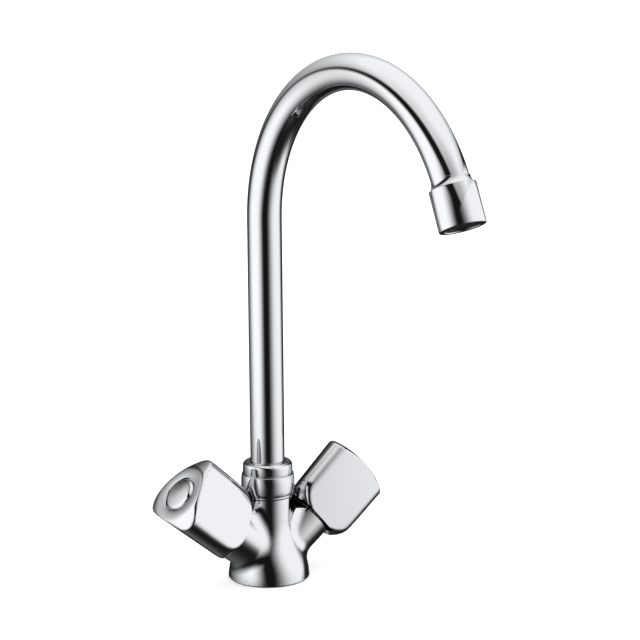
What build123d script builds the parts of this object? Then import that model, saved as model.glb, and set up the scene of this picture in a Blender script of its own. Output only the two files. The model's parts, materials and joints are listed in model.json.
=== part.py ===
"""Two handle kitchen faucet: cast body, swivelling swan-neck spout and two screw-down valves.

Frame, in millimetres: the origin is the centre of the foot on the deck, +Z is up, the spout reaches
towards -Y, the hot side is -X and the cold side is +X. Each arm has its own axis, tilted up and out
from a point on the body's axis, and its pieces are turned about that axis: their heights are distances
along it. Threads are plain cylinders at their major radius.
"""
from build123d import *
from math import asin, cos, degrees, radians, sin, sqrt, tan
import os

os.makedirs("parts", exist_ok=True)

# ---------------------------------------------------------------------------------------------
# Clearances
turning_play = 0.05     # radial play where one piece turns or slides in another
thread_play = 0.05      # radial play between the plain cylinders that stand for a thread
face_play = 0.1         # axial play between faces that slide on each other
free_gap = 0.3          # round a moving piece that only passes

# Cast body
foot_radius = 23.8
foot_edge = 1.0         # rounding of the foot's lower edge
foot_flare = 0.4        # how far the bell's wall leans in over its first stretch
foot_stretch = 17.0     # length of the bell's steep lower stretch
neck_radius = 14.2
neck_stretch = 13.0     # length of the bell's upper run-out into the column
bell_height = 35.0
shoulder_height = 50.0  # where the column ends and the nut's washer lies
shoulder_edge = 0.5
spigot_length = 10.0    # threaded collar above the shoulder
spigot_radius = 13.1    # G3/4
socket_depth = 24.0     # bore for the spout's foot, from the spigot's top
chamber_radius = 6.0    # mixing chamber under the socket
chamber_floor = 26.0    # height of its floor
crossway_radius = 3.0   # passages from the valves to the mixing chamber
crossway_height = 30.0

# Arms
arm_tilt = 40.0         # above the deck
arm_base_height = 9.7   # where the two axes meet on the body's axis
arm_root = 6.0
arm_root_radius = 13.2
arm_mouth = 36.0
arm_mouth_radius = 14.9
arm_mouth_edge = 0.9
arm_blend = 9.0         # cast fillet between the arms and the column

# Underside
inlet_spacing = 19.0    # between the two hose threads
inlet_radius = 4.6      # M10x1, tapped
inlet_depth = 12.0
inlet_way_radius = 3.2
inlet_way_height = 16.5
stud_offset = 11.0      # behind the centre
stud_radius = 3.4       # M8, tapped
stud_depth = 14.0
seal_wire = 1.2         # half the section of the foot's O-ring
seal_inset = 3.2        # from the foot's edge to the O-ring's centre line

# Valve seat and headwork, along the arm's axis
seat_depth = 16.0       # mouth to seat
seat_radius = 4.0
seat_rim = 2.6
seat_rise = 2.5
seat_way_depth = 11.0   # how far the passage under the seat reaches
valve_chamber_radius = 9.2
headwork_thread_radius = 10.4   # G1/2
headwork_thread_length = 8.0
headwork_seal_thickness = 0.8
hexagon_flats = 22.0
hexagon_height = 6.0
hexagon_edge = 0.8
gland_radius = 8.5
gland_length = 8.2

# Valve
thread_lead = 2.4       # axial travel in one turn
opening_turns = 1.75
washer_radius = 6.6
washer_thickness = 3.6
washer_hole_play = 0.2
carrier_flange_radius = 6.9
carrier_flange_thickness = 2.4
carrier_flats = 12.0
carrier_bore_floor = 8.0        # seat to the bottom of the carrier's thread
guide_flats_play = 0.3
carrier_top_gap = 0.5
small_screw_radius = 2.0
small_screw_head_radius = 3.1
small_screw_head_height = 2.0
small_screw_slot = 0.8
washer_screw_reach = 3.8        # into the carrier

# Spindle
spindle_radius = 4.0
spindle_collar_radius = 6.0
spindle_collar_height = 1.8
spindle_ring_wire = 0.95
spindle_ring_height = 2.6       # under the gland's top
gland_land = 2.4                # solid gland under the spindle's O-ring
clip_thickness = 0.7
clip_radius = 6.2
clip_grip = 0.6                 # depth of the clip's groove
clip_mouth = 0.8                # half its opening, as a share of the groove's radius
spline_count = 16
spline_depth = 0.45
spline_start = 3.0              # above the gland's top
spline_lead = 1.0               # how far the splines reach below the bush, and the tapped hole below the screw
spindle_head = 11.0             # above the gland's top

# Handle
handle_gap = 0.4                # mouth of the arm to the skirt
handle_length = 42.3
handle_apex = 25.6              # lobe's tip from the axis, at the outer end
handle_flat = 17.4              # middle of a side from the axis
handle_lobe = 7.6               # radius of a lobe
handle_draft = 1.0              # how much narrower each of them is at the skirt
skirt_radius = 19.9            # of the lobes, where the curve is cut off
skirt_round = 17.0              # radius of the curve that draws the lobes in to the skirt
crown_radius = 17.0             # flat middle of the outer end
crown_round = 6.5               # radius of the curve that turns it down
crown_slope = 21.0              # of the cone from there to the lobes' tips
handle_edge = 1.8
handle_wall = 2.1
handle_roof = 7.0
hub_radius = 8.7
insert_flats = 12.0
insert_length = 9.0
hub_floor = 3.5                 # between the insert and the screw's head
screw_well_radius = 4.3
handle_screw_reach = 7.0        # into the spindle
handle_screw_head_radius = 3.6
handle_screw_head_height = 2.5
handle_screw_slot = 0.9
hot_turn = 84.0                 # one lobe's angle from the front, seen from outside
cold_turn = -65.0

# Button
button_well_radius = 10.9
button_well_depth = 3.0
button_well_edge = 0.5
button_radius = 10.1
button_rise = 1.5               # of its middle above the handle's end
button_dome = 55.0              # radius of its slightly domed face
button_edge = 2.4
button_skirt_radius = 9.0
button_skirt_wall = 1.0
button_skirt_length = 2.2

# Spout
tube_radius = 10.0
tube_wall = 1.0
arch_radius = 89.5
arch_height = 213.1             # where the riser ends and the arch begins
arch_sweep = 156.5
foot_play_height = 0.8          # thickness of the lower slide ring
foot_spigot_radius = 9.5
foot_bore_radius = 6.0
foot_length = 22.0              # below the collar
foot_collar_radius = 12.2
foot_collar_height = 2.0
foot_stub_length = 6.0          # up inside the tube
foot_ring_wire = 0.95
foot_ring_heights = (6.0, 16.0)  # above the foot's lower end
upper_slide_height = 0.9

# Nut
nut_washer_thickness = 1.3
nut_washer_radius = 14.6
nut_radius = 15.6
nut_base_radius = 15.2
nut_base_height = 2.2           # over which the barrel widens from its base
nut_edge = 0.4
nut_taper = 3.4                 # stretch under the groove over which the barrel draws in again
nut_groove = 0.5                # depth and width
nut_ring_radius = 14.5
nut_ring_wall = 4.3             # straight wall over the groove
nut_dome = 2.6                  # radius of the shoulder over it
nut_dome_turn = 78.0            # degrees of that rounding
nut_dome_rise = 0.25            # from there to the pipe
nut_lip_height = 6.8            # solid lip over the upper slide ring

# Outlet, along the tail of the tube: distances from the tube's end
socket_grip = 5.5               # over the tube
braze_gap = 0.1
socket_lip_wall = 0.2
socket_shoulder_radius = 11.3
socket_shoulder = -1.4
socket_length_beyond = 8.0
outlet_thread_radius = 10.95    # M22x1
socket_bore_radius = 8.8
shell_radius = 12.45
shell_length = 21.8
shell_lip = 1.9
shell_opening_radius = 9.7
shell_opening_edge = 0.3
shell_wall = 1.3
shell_edge = 0.5
gasket_thickness = 1.5
insert_wall = 1.3
insert_plate = 1.5
jet_count = 12
jet_radius = 0.9
jet_circle = 6.9                # radius of the ring that they stand on
screen_thickness = 0.8
screen_recess = 1.0             # above the insert's lower end
mesh_pitch = 2.6
mesh_hole = 0.95                # inner radius of a hexagonal hole
mesh_rim = 0.8                  # least solid rim outside the holes

# ---------------------------------------------------------------------------------------------
# Sizes that follow from them
spigot_top = shoulder_height + spigot_length
collar_bottom = spigot_top + face_play + foot_play_height
collar_top = collar_bottom + foot_collar_height
nut_bottom = shoulder_height + nut_washer_thickness
nut_lip = collar_top + face_play + upper_slide_height
nut_top = nut_lip + nut_lip_height
foot_bottom = collar_bottom - foot_length

seat_face = arm_mouth - seat_depth
valve_floor = seat_face - seat_rise
headwork_bottom = arm_mouth - headwork_thread_length
hexagon_bottom = arm_mouth + headwork_seal_thickness
hexagon_top = hexagon_bottom + hexagon_height
gland_top = hexagon_top + gland_length
valve_lift = thread_lead * opening_turns
carrier_bottom = seat_face + washer_thickness
carrier_flange_top = carrier_bottom + carrier_flange_thickness
carrier_bore = seat_face + carrier_bore_floor
flange_room_top = carrier_flange_top + valve_lift + free_gap
spindle_bottom = carrier_bore + valve_lift + carrier_top_gap
collar_seat = gland_top - spindle_ring_height - gland_land
spindle_collar_bottom = collar_seat - spindle_collar_height - face_play
carrier_top = spindle_collar_bottom - valve_lift - carrier_top_gap
spindle_top = gland_top + spindle_head
spline_root = spindle_radius - spline_depth

handle_start = arm_mouth + handle_gap
handle_end = handle_start + handle_length
insert_bottom = gland_top + spline_start
insert_top = insert_bottom + insert_length
screw_seat = insert_top + hub_floor
well_floor = handle_end - button_well_depth
cavity_top = handle_end - handle_roof

outlet_top = socket_shoulder + face_play
outlet_bottom = outlet_top + shell_length
lip_top = outlet_bottom - shell_lip
gasket_top = socket_length_beyond
aerator_top = gasket_top + gasket_thickness
aerator_radius = shell_radius - shell_wall - thread_play


# ---------------------------------------------------------------------------------------------
# Helpers
def turned(*outline):
    """A solid of revolution about Z from a closed outline of (radius, height) points."""
    return revolve(Plane.XZ * make_face(Polyline(*outline, close=True)), Axis.Z)


def rod(radius, bottom, top):
    """A cylinder about Z between two heights."""
    return Pos(0, 0, bottom) * Cylinder(radius, top - bottom, align=(Align.CENTER, Align.CENTER, Align.MIN))


def tube(outer, inner, bottom, top):
    """A round sleeve about Z."""
    return rod(outer, bottom, top) - rod(inner, bottom, top)


def hexagon(flats, bottom, top):
    """A hexagonal bar about Z, given its size across flats."""
    return extrude(Pos(0, 0, bottom) * RegularPolygon(flats / 2, 6, major_radius=False), top - bottom)


def o_ring(centre_radius, wire, height):
    """A rubber ring of round section about Z."""
    return Pos(0, 0, height) * Torus(centre_radius, wire)


def arm_plane(side):
    """The arm's frame: Z out along the arm's axis, X to the front. side is -1 hot, +1 cold."""
    tilt = radians(arm_tilt)
    return Plane(origin=(0, 0, arm_base_height), x_dir=(0, -1, 0), z_dir=(side * cos(tilt), 0, sin(tilt)))


def polar(length, angle):
    """A vector in the XY plane from its length and its angle in degrees."""
    return Vector(length * cos(radians(angle)), length * sin(radians(angle)))


# ---------------------------------------------------------------------------------------------
# Body
def bell_outline():
    """Half section of the foot and column: a steep foot that draws in to the neck in one sweep."""
    wall = Bezier(
        (foot_radius, foot_edge),
        (foot_radius - foot_flare, foot_stretch),
        (neck_radius, bell_height - neck_stretch),
        (neck_radius, bell_height),
    )
    foot = RadiusArc((foot_radius - foot_edge, 0), (foot_radius, foot_edge), foot_edge)
    base = Line((0, 0), (foot_radius - foot_edge, 0))
    rest = Polyline(
        (neck_radius, bell_height),
        (neck_radius, shoulder_height - shoulder_edge),
        (neck_radius - shoulder_edge, shoulder_height),
        (spigot_radius, shoulder_height),
        (spigot_radius, spigot_top - shoulder_edge),
        (spigot_radius - shoulder_edge, spigot_top),
        (0, spigot_top),
        (0, 0),
    )
    return make_face(base + foot + wall + rest)


def make_body():
    """One casting: the bell and the two arms, blended, then bored and tapped."""
    bell = revolve(Plane.XZ * bell_outline(), Axis.Z)
    arm_blank = turned(
        (0, arm_root),
        (arm_root_radius, arm_root),
        (arm_mouth_radius, arm_mouth - arm_mouth_edge),
        (arm_mouth_radius - arm_mouth_edge, arm_mouth),
        (0, arm_mouth),
    )
    arms = [arm_plane(side) * arm_blank for side in (-1, 1)]
    body = bell + arms
    seams = new_edges(bell, *arms, combined=body)
    body = fillet(seams, arm_blend)

    valve_bore = rod(headwork_thread_radius + thread_play, headwork_bottom, arm_mouth + 1)
    valve_bore += rod(valve_chamber_radius, valve_floor, headwork_bottom)
    seat = rod(seat_radius + seat_rim, valve_floor, seat_face)
    seat_way = rod(seat_radius, seat_face - seat_way_depth, seat_face)
    for side in (-1, 1):
        body -= arm_plane(side) * (valve_bore - seat + seat_way)
        inlet = Pos(side * inlet_spacing / 2, 0, 0)
        body -= inlet * rod(inlet_radius, 0, inlet_depth)
        body -= inlet * rod(inlet_way_radius, 0, inlet_way_height)

    crossway = Cylinder(crossway_radius, 2 * neck_radius)
    body -= Pos(0, 0, crossway_height) * Rot(0, 90, 0) * crossway
    body -= rod(chamber_radius, chamber_floor, spigot_top)
    body -= rod(foot_spigot_radius + turning_play, spigot_top - socket_depth, spigot_top)
    body -= Pos(0, stud_offset, 0) * rod(stud_radius, 0, stud_depth)
    groove_centre = foot_radius - seal_inset
    body -= tube(groove_centre + seal_wire + face_play, groove_centre - seal_wire - face_play,
                 0, 2 * seal_wire + face_play)
    return body


# ---------------------------------------------------------------------------------------------
# Spout and nut
def make_nut():
    """Coupling nut: barrel, groove, ring and domed shoulder, with a lip that holds the spout down."""
    dome_start = nut_top - nut_dome * sin(radians(nut_dome_turn)) - nut_dome_rise
    groove_top = dome_start - nut_ring_wall
    groove_bottom = groove_top - nut_groove
    bore = spigot_radius + thread_play
    pipe_hole = tube_radius + free_gap
    side = Polyline(
        (pipe_hole, nut_top),
        (pipe_hole, nut_lip),
        (bore, nut_lip),
        (bore, nut_bottom),
        (nut_base_radius - nut_edge, nut_bottom),
        (nut_base_radius, nut_bottom + nut_edge),
        (nut_radius, nut_bottom + nut_base_height),
        (nut_radius, groove_bottom - nut_taper),
        (nut_radius - nut_edge, groove_bottom),
        (nut_ring_radius - nut_groove, groove_bottom),
        (nut_ring_radius - nut_groove, groove_top),
        (nut_ring_radius, groove_top + nut_edge),
        (nut_ring_radius, dome_start),
    )
    dome = JernArc((nut_ring_radius, dome_start), (0, 1), nut_dome, nut_dome_turn)
    rim = Polyline(dome @ 1, (pipe_hole + nut_edge, nut_top), (pipe_hole, nut_top))
    return revolve(Plane.XZ * make_face(side + dome + rim), Axis.Z)


def make_spout_tube():
    """The swan neck: a straight riser and one large bend."""
    ring = Circle(tube_radius) - Circle(tube_radius - tube_wall)
    riser = extrude(Pos(0, 0, collar_top) * ring, arch_height - collar_top)
    bend_axis = Axis((0, -arch_radius, arch_height), (1, 0, 0))
    bend = revolve(Pos(0, 0, arch_height) * ring, bend_axis, arch_sweep)
    return riser + bend


def tail_plane():
    """The frame of the pipe's end: Z along the flow, origin at the end of the bend."""
    sweep = radians(arch_sweep)
    end = (0, -arch_radius * (1 - cos(sweep)), arch_height + arch_radius * sin(sweep))
    return Plane(origin=end, x_dir=(1, 0, 0), z_dir=(0, -sin(sweep), cos(sweep)))


def make_spout_foot():
    """Brass foot brazed into the pipe: a grooved spigot, a collar and a stub inside the pipe."""
    foot = rod(foot_spigot_radius, foot_bottom, collar_bottom)
    foot += rod(foot_collar_radius, collar_bottom, collar_top)
    foot += rod(tube_radius - tube_wall - turning_play, collar_top, collar_top + foot_stub_length)
    foot -= rod(foot_bore_radius, foot_bottom, collar_top + foot_stub_length)
    for height in foot_ring_heights:
        centre = foot_bottom + height
        foot -= tube(foot_spigot_radius, foot_spigot_radius - 2 * foot_ring_wire,
                     centre - foot_ring_wire - face_play, centre + foot_ring_wire + face_play)
    return foot


def make_foot_seals():
    """The foot's two O-rings, flush with its spigot."""
    rings = [o_ring(foot_spigot_radius - foot_ring_wire, foot_ring_wire, foot_bottom + height)
             for height in foot_ring_heights]
    return Compound(children=rings)


# ---------------------------------------------------------------------------------------------
# Outlet, in the tail's frame
def make_outlet_socket():
    """Collar brazed over the pipe's end: a trumpet flare, a shoulder and the aerator's thread."""
    bore = tube_radius + braze_gap
    lip = (bore + socket_lip_wall, -socket_grip)
    shoulder = (socket_shoulder_radius, socket_shoulder)
    flare = TangentArc(lip, shoulder, tangent=(0, 1))
    rest = Polyline(
        shoulder,
        (outlet_thread_radius, socket_shoulder),
        (outlet_thread_radius, socket_length_beyond),
        (socket_bore_radius, socket_length_beyond),
        (socket_bore_radius, face_play),
        (bore, face_play),
        (bore, -socket_grip),
        lip,
    )
    return revolve(Plane.XZ * make_face(flare + rest), Axis.Z)


def make_aerator_shell():
    """Turned sleeve that screws over the socket and holds the insert up with its lip."""
    inner = shell_radius - shell_wall
    return turned(
        (outlet_thread_radius + thread_play, outlet_top),
        (shell_radius - shell_edge, outlet_top),
        (shell_radius, outlet_top + shell_edge),
        (shell_radius, outlet_bottom - shell_edge),
        (shell_radius - shell_edge, outlet_bottom),
        (shell_opening_radius + shell_opening_edge, outlet_bottom),
        (shell_opening_radius, outlet_bottom - shell_opening_edge),
        (shell_opening_radius, lip_top),
        (inner, lip_top),
        (inner, gasket_top),
        (outlet_thread_radius + thread_play, gasket_top),
    )


def make_aerator_gasket():
    """Flat rubber ring between the socket and the insert."""
    return tube(outlet_thread_radius - free_gap, socket_bore_radius, gasket_top, aerator_top)


def make_aerator_insert():
    """Plastic cup with a ring of jets in its top plate."""
    cup = rod(aerator_radius, aerator_top, lip_top)
    cup -= rod(aerator_radius - insert_wall, aerator_top + insert_plate, lip_top)
    jet = rod(jet_radius, aerator_top, aerator_top + insert_plate)
    for index in range(jet_count):
        cup -= Rot(0, 0, index * 360 / jet_count) * Pos(jet_circle, 0, 0) * jet
    return cup


def make_aerator_screen():
    """Honeycomb screen in the insert's mouth: what shows of the outlet from below."""
    radius = aerator_radius - insert_wall - turning_play
    bottom = lip_top - screen_recess
    screen = rod(radius, bottom - screen_thickness, bottom)
    hole = hexagon(2 * mesh_hole, bottom - screen_thickness, bottom)
    rows = int(radius / mesh_pitch) + 1
    holes = []
    for row in range(-rows, rows + 1):
        for column in range(-2 * rows, 2 * rows + 1):
            x = (column + row / 2) * mesh_pitch
            y = row * mesh_pitch * sqrt(3) / 2
            if sqrt(x * x + y * y) < radius - mesh_hole - mesh_rim:
                holes.append(Pos(x, y, 0) * hole)
    return screen - holes


# ---------------------------------------------------------------------------------------------
# Headwork and valve, in the arm's frame
def make_headwork_housing():
    """Brass housing screwed into the arm: thread, hexagon and gland, with a hexagonal guide inside."""
    housing = rod(headwork_thread_radius, headwork_bottom, hexagon_bottom)
    bar = hexagon(hexagon_flats, hexagon_bottom, hexagon_top)
    housing += bar & turned(
        (0, hexagon_bottom),
        (hexagon_flats / 2, hexagon_bottom),
        (hexagon_flats / 2 / cos(radians(30)), hexagon_bottom + hexagon_edge),
        (hexagon_flats / 2 / cos(radians(30)), hexagon_top - hexagon_edge),
        (hexagon_flats / 2, hexagon_top),
        (0, hexagon_top),
    )
    housing += rod(gland_radius, hexagon_top, gland_top)
    housing -= rod(carrier_flange_radius + free_gap, headwork_bottom, flange_room_top)
    housing -= hexagon(carrier_flats + guide_flats_play, flange_room_top, spindle_collar_bottom - face_play)
    housing -= rod(spindle_collar_radius + turning_play, spindle_collar_bottom - face_play, collar_seat)
    housing -= rod(spindle_radius + turning_play, collar_seat, gland_top)
    return housing


def make_headwork_seal():
    """Flat fibre ring between the arm's mouth and the hexagon."""
    return tube(hexagon_flats / 2 + 1, headwork_thread_radius + thread_play, arm_mouth, hexagon_bottom)


def spline_bar(radius, root, bottom, top):
    """A shaft with pointed splines."""
    points = []
    for index in range(spline_count):
        angle = index * 360 / spline_count
        points.append(polar(radius, angle))
        points.append(polar(root, angle + 180 / spline_count))
    return extrude(Pos(0, 0, bottom) * make_face(Polyline(*points, close=True)), top - bottom)


def make_spindle():
    """Spindle: drive thread, collar, gland journal with its grooves, splined head with a tapped hole."""
    spindle = rod(spindle_radius, spindle_bottom, insert_bottom - spline_lead)
    spindle += rod(spindle_collar_radius, spindle_collar_bottom, collar_seat - face_play)
    spindle += spline_bar(spindle_radius, spline_root, insert_bottom - spline_lead, spindle_top)
    ring_centre = gland_top - spindle_ring_height
    spindle -= tube(spindle_radius, spindle_radius - 2 * spindle_ring_wire,
                    ring_centre - spindle_ring_wire - face_play, ring_centre + spindle_ring_wire + face_play)
    spindle -= tube(spindle_radius, spindle_radius - clip_grip,
                    gland_top + face_play, gland_top + 2 * face_play + clip_thickness)
    spindle -= rod(small_screw_radius, insert_top - handle_screw_reach - spline_lead, spindle_top)
    return spindle


def make_spindle_seal():
    """O-ring of the gland, flush with the spindle."""
    return o_ring(spindle_radius - spindle_ring_wire, spindle_ring_wire, gland_top - spindle_ring_height)


def make_spindle_clip():
    """Open clip in the spindle's groove, on top of the gland."""
    bottom = gland_top + 1.5 * face_play
    clip = tube(clip_radius, spindle_radius - clip_grip + turning_play, bottom, bottom + clip_thickness)
    mouth = Pos(clip_radius, 0, bottom) * Box(2 * clip_radius, 2 * clip_mouth * (spindle_radius - clip_grip),
                                              2 * clip_thickness)
    return clip - mouth


def make_valve_carrier():
    """Hexagonal nut that the spindle screws up and down: it can't turn in the housing."""
    carrier = rod(carrier_flange_radius, carrier_bottom, carrier_flange_top)
    carrier += hexagon(carrier_flats, carrier_flange_top, carrier_top)
    carrier -= rod(spindle_radius + turning_play, carrier_bore, carrier_top)
    carrier -= rod(small_screw_radius + thread_play, carrier_bottom, carrier_bore)
    return carrier


def make_valve_washer():
    """Rubber washer that closes on the seat."""
    return tube(washer_radius, small_screw_radius + washer_hole_play, seat_face, carrier_bottom)


def make_washer_screw():
    """Pan head screw that holds the washer on the carrier, in the mouth of the seat."""
    head = rod(small_screw_head_radius, seat_face - small_screw_head_height, seat_face)
    head -= Pos(0, 0, seat_face - small_screw_head_height) * Box(2 * small_screw_head_radius, small_screw_slot,
                                                               small_screw_head_height)
    return head + rod(small_screw_radius, seat_face, carrier_bottom + washer_screw_reach)


# ---------------------------------------------------------------------------------------------
# Handle, in the arm's frame
def trilobe(apex, flat, lobe):
    """Outline of a three-lobed knob: three wide arcs and three lobes, tangent to each other.

    apex and flat are the distances from the axis to a lobe's tip and to the middle of a side.
    """
    reach = apex - lobe
    gap = reach / 2 - flat
    side_radius = -(0.75 * reach ** 2 + gap ** 2 - lobe ** 2) / (2 * (gap + lobe))
    back = side_radius - flat

    def join(side_angle, lobe_angle):
        """Where a side's arc meets a lobe's arc."""
        centre = polar(-back, side_angle)
        towards = (polar(reach, lobe_angle) - centre).normalized()
        return centre + towards * side_radius

    outline = Curve()
    for index in range(3):
        side_angle = 60 + 120 * index
        lobe_angle = side_angle + 60
        start = join(side_angle, side_angle - 60)
        end = join(side_angle, lobe_angle)
        following = join(side_angle + 120, lobe_angle)
        outline += ThreePointArc(start, polar(flat, side_angle), end)
        outline += ThreePointArc(end, polar(apex, lobe_angle), following)
    return make_face(outline)


def lobed_bar(inset):
    """The handle's tapering three-lobed bar, its wall drawn in by inset."""
    outer = Pos(0, 0, handle_end) * trilobe(handle_apex - inset, handle_flat - inset, handle_lobe - inset)
    inner = Pos(0, 0, handle_start) * trilobe(
        handle_apex - handle_draft - inset, handle_flat - handle_draft - inset, handle_lobe - inset)
    return loft([inner, outer], ruled=True)


def handle_profile(inset, crown):
    """Turned profile: the skirt's curve, drawn in by inset, then straight up to the line that closes it."""
    curve = skirt_round - inset
    mouth = skirt_radius - inset
    lean = asin((mouth - handle_apex + skirt_round) / curve)
    skirt = JernArc((mouth, handle_start), (cos(lean), sin(lean)), curve, 90 - degrees(lean))
    side = Polyline(skirt @ 1, ((crown @ 1).X, (skirt @ 1).Y), crown @ 1)
    base = Polyline(crown @ 0, (0, handle_start), (mouth, handle_start))
    return revolve(Plane.XZ * make_face(skirt + side + crown + base), Axis.Z)


def make_handle_shell():
    """The lobed bar rounded off at the skirt and the outer end; hollow, with a hub."""
    beyond = handle_apex + 2
    turn_down = JernArc((crown_radius, handle_end), (1, 0), crown_round, -crown_slope)
    drop = (beyond - (turn_down @ 1).X) * tan(radians(crown_slope))
    cone = Line(turn_down @ 1, (beyond, (turn_down @ 1).Y - drop))
    crown = Line((0, handle_end), turn_down @ 0) + turn_down + cone
    shell = lobed_bar(0) & handle_profile(0, crown)
    middle = handle_end - handle_length / 2
    rim_edges = [edge for edge in shell.edges()
                 if edge.bounding_box().min.Z > middle and edge.geom_type != GeomType.CIRCLE]
    shell = fillet(rim_edges, handle_edge)

    hollow = lobed_bar(handle_wall) & handle_profile(handle_wall, Line((0, cavity_top), (beyond, cavity_top)))
    shell -= hollow - rod(hub_radius, insert_bottom, cavity_top)
    shell -= hexagon(insert_flats + 2 * turning_play, insert_bottom, insert_top)
    shell -= rod(small_screw_radius + free_gap, insert_top, screw_seat)
    shell -= rod(screw_well_radius, screw_seat, handle_end)
    shell -= rod(button_skirt_radius + turning_play, well_floor - button_skirt_length - free_gap, handle_end)
    shell -= turned(
        (0, well_floor),
        (button_well_radius, well_floor),
        (button_well_radius, handle_end - button_well_edge),
        (button_well_radius + button_well_edge, handle_end),
        (0, handle_end),
    )
    return shell


def make_handle_insert():
    """Plastic bush in the hub, broached to the spindle's splines."""
    bush = hexagon(insert_flats, insert_bottom, insert_top)
    return bush - spline_bar(spindle_radius + turning_play, spline_root + turning_play,
                             insert_bottom, insert_top)


def make_handle_screw():
    """Cheese head screw down into the spindle."""
    head_top = screw_seat + handle_screw_head_height
    head = rod(handle_screw_head_radius, screw_seat, head_top)
    head -= Pos(0, 0, head_top) * Box(2 * handle_screw_head_radius, handle_screw_slot,
                                          handle_screw_head_height)
    return head + rod(small_screw_radius - thread_play, insert_top - handle_screw_reach, screw_seat)


def make_handle_button():
    """Round button with a slightly domed face and a skirt that snaps into the handle."""
    dome_turn = degrees(asin((button_radius - button_edge) / (button_dome - button_edge)))
    dome = JernArc((0, handle_end + button_rise), (1, 0), button_dome, -dome_turn)
    edge = JernArc(dome @ 1, dome % 1, button_edge, dome_turn - 90)
    rest = Polyline(edge @ 1, (button_radius, well_floor), (0, well_floor), (0, handle_end + button_rise))
    plate = revolve(Plane.XZ * make_face(dome + edge + rest), Axis.Z)
    return plate + tube(button_skirt_radius, button_skirt_radius - button_skirt_wall,
                        well_floor - button_skirt_length, well_floor)


# ---------------------------------------------------------------------------------------------
# Assembly
seal_centre = foot_radius - seal_inset
tail = tail_plane()
nodes = {
    "faucet_body": make_body(),
    "base_seal_ring": o_ring(seal_centre, seal_wire, seal_wire),
    "nut_washer": tube(nut_washer_radius, spigot_radius + thread_play, shoulder_height, nut_bottom),
    "spout_nut": make_nut(),
    "lower_slide_ring": tube(spigot_radius, foot_spigot_radius + free_gap, spigot_top,
                             spigot_top + foot_play_height),
    "upper_slide_ring": tube(foot_collar_radius, tube_radius + free_gap, nut_lip - upper_slide_height,
                             nut_lip),
    "spout_foot": make_spout_foot(),
    "foot_seals": make_foot_seals(),
    "spout_tube": make_spout_tube(),
    "outlet_socket": tail * make_outlet_socket(),
    "aerator_shell": tail * make_aerator_shell(),
    "aerator_gasket": tail * make_aerator_gasket(),
    "aerator_insert": tail * make_aerator_insert(),
    "aerator_screen": tail * make_aerator_screen(),
}

still = {
    "headwork_housing": make_headwork_housing(),
    "headwork_seal": make_headwork_seal(),
    "valve_carrier": make_valve_carrier(),
    "valve_washer": make_valve_washer(),
    "washer_screw": make_washer_screw(),
}
turned_with_handle = {
    "spindle": make_spindle(),
    "spindle_seal": make_spindle_seal(),
    "spindle_clip": make_spindle_clip(),
    "handle_shell": make_handle_shell(),
    "handle_insert": make_handle_insert(),
    "handle_screw": make_handle_screw(),
    "handle_button": make_handle_button(),
}
for name, side, turn in (("hot", -1, hot_turn), ("cold", 1, cold_turn)):
    plane = arm_plane(side)
    for part_name, part in still.items():
        nodes[f"{name}_{part_name}"] = plane * part
    for part_name, part in turned_with_handle.items():
        nodes[f"{name}_{part_name}"] = plane * Rot(0, 0, turn) * part

for node, part in nodes.items():
    export_step(part, f"parts/{node}.step")
    print(f"{node:26s} {part.volume / 1000:8.2f} cm3")
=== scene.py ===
# %% [markdown]
# # A two handle kitchen faucet in Blender
#
# The real object is a chrome plated brass casting with two screw-down valves and a bent pipe.
# This script dresses the measured model of it: it sets up a photographer's table, makes the
# finishes, and remakes the pieces whose polish shows the most. All lengths are metres, so `MM`
# turns the drawing's millimetres.

# %% Load the measured model
import json
from math import acos, asin, atan2, cos, degrees, pi, radians, sin, sqrt, tan

import bmesh
import bpy
from mathutils import Matrix, Vector


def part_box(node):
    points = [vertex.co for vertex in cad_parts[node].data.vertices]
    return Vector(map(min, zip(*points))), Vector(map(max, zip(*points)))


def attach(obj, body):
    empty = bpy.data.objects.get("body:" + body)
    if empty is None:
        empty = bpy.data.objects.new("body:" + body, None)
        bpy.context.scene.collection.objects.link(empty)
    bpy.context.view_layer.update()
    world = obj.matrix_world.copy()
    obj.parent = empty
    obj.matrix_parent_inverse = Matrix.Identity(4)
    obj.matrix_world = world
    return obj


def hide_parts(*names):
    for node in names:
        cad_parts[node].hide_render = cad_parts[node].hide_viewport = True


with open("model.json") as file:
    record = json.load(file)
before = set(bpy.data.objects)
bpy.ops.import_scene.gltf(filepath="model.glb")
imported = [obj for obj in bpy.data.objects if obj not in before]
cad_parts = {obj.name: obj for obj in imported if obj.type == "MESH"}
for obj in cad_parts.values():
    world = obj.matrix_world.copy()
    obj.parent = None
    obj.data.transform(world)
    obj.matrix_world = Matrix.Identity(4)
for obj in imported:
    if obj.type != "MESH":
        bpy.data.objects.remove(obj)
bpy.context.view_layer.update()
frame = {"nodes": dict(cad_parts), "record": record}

MM = 0.001
print("pieces:", len(frame["nodes"]))

# %% [markdown]
# ## Colours and nodes
#
# A colour picker gives sRGB values, but the renderer adds up light, so it wants linear ones. One
# function turns a hex colour to linear values, and every colour below goes through it.
#
# A finish is a small graph of nodes. It could be clicked together in the shader editor; here one
# function adds a node, sets it and plugs in its inputs, so that a finish reads from top to
# bottom.

# %% Colours and nodes
def linear(hex_colour):
    """Linear red, green, blue and alpha of an sRGB colour such as '#C4C6C8'.

    The numbers are those of the sRGB standard.
    """
    channels = [int(hex_colour[i:i + 2], 16) / 255 for i in (1, 3, 5)]
    return [c / 12.92 if c <= 0.04045 else ((c + 0.055) / 1.055) ** 2.4 for c in channels] + [1]


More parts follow.
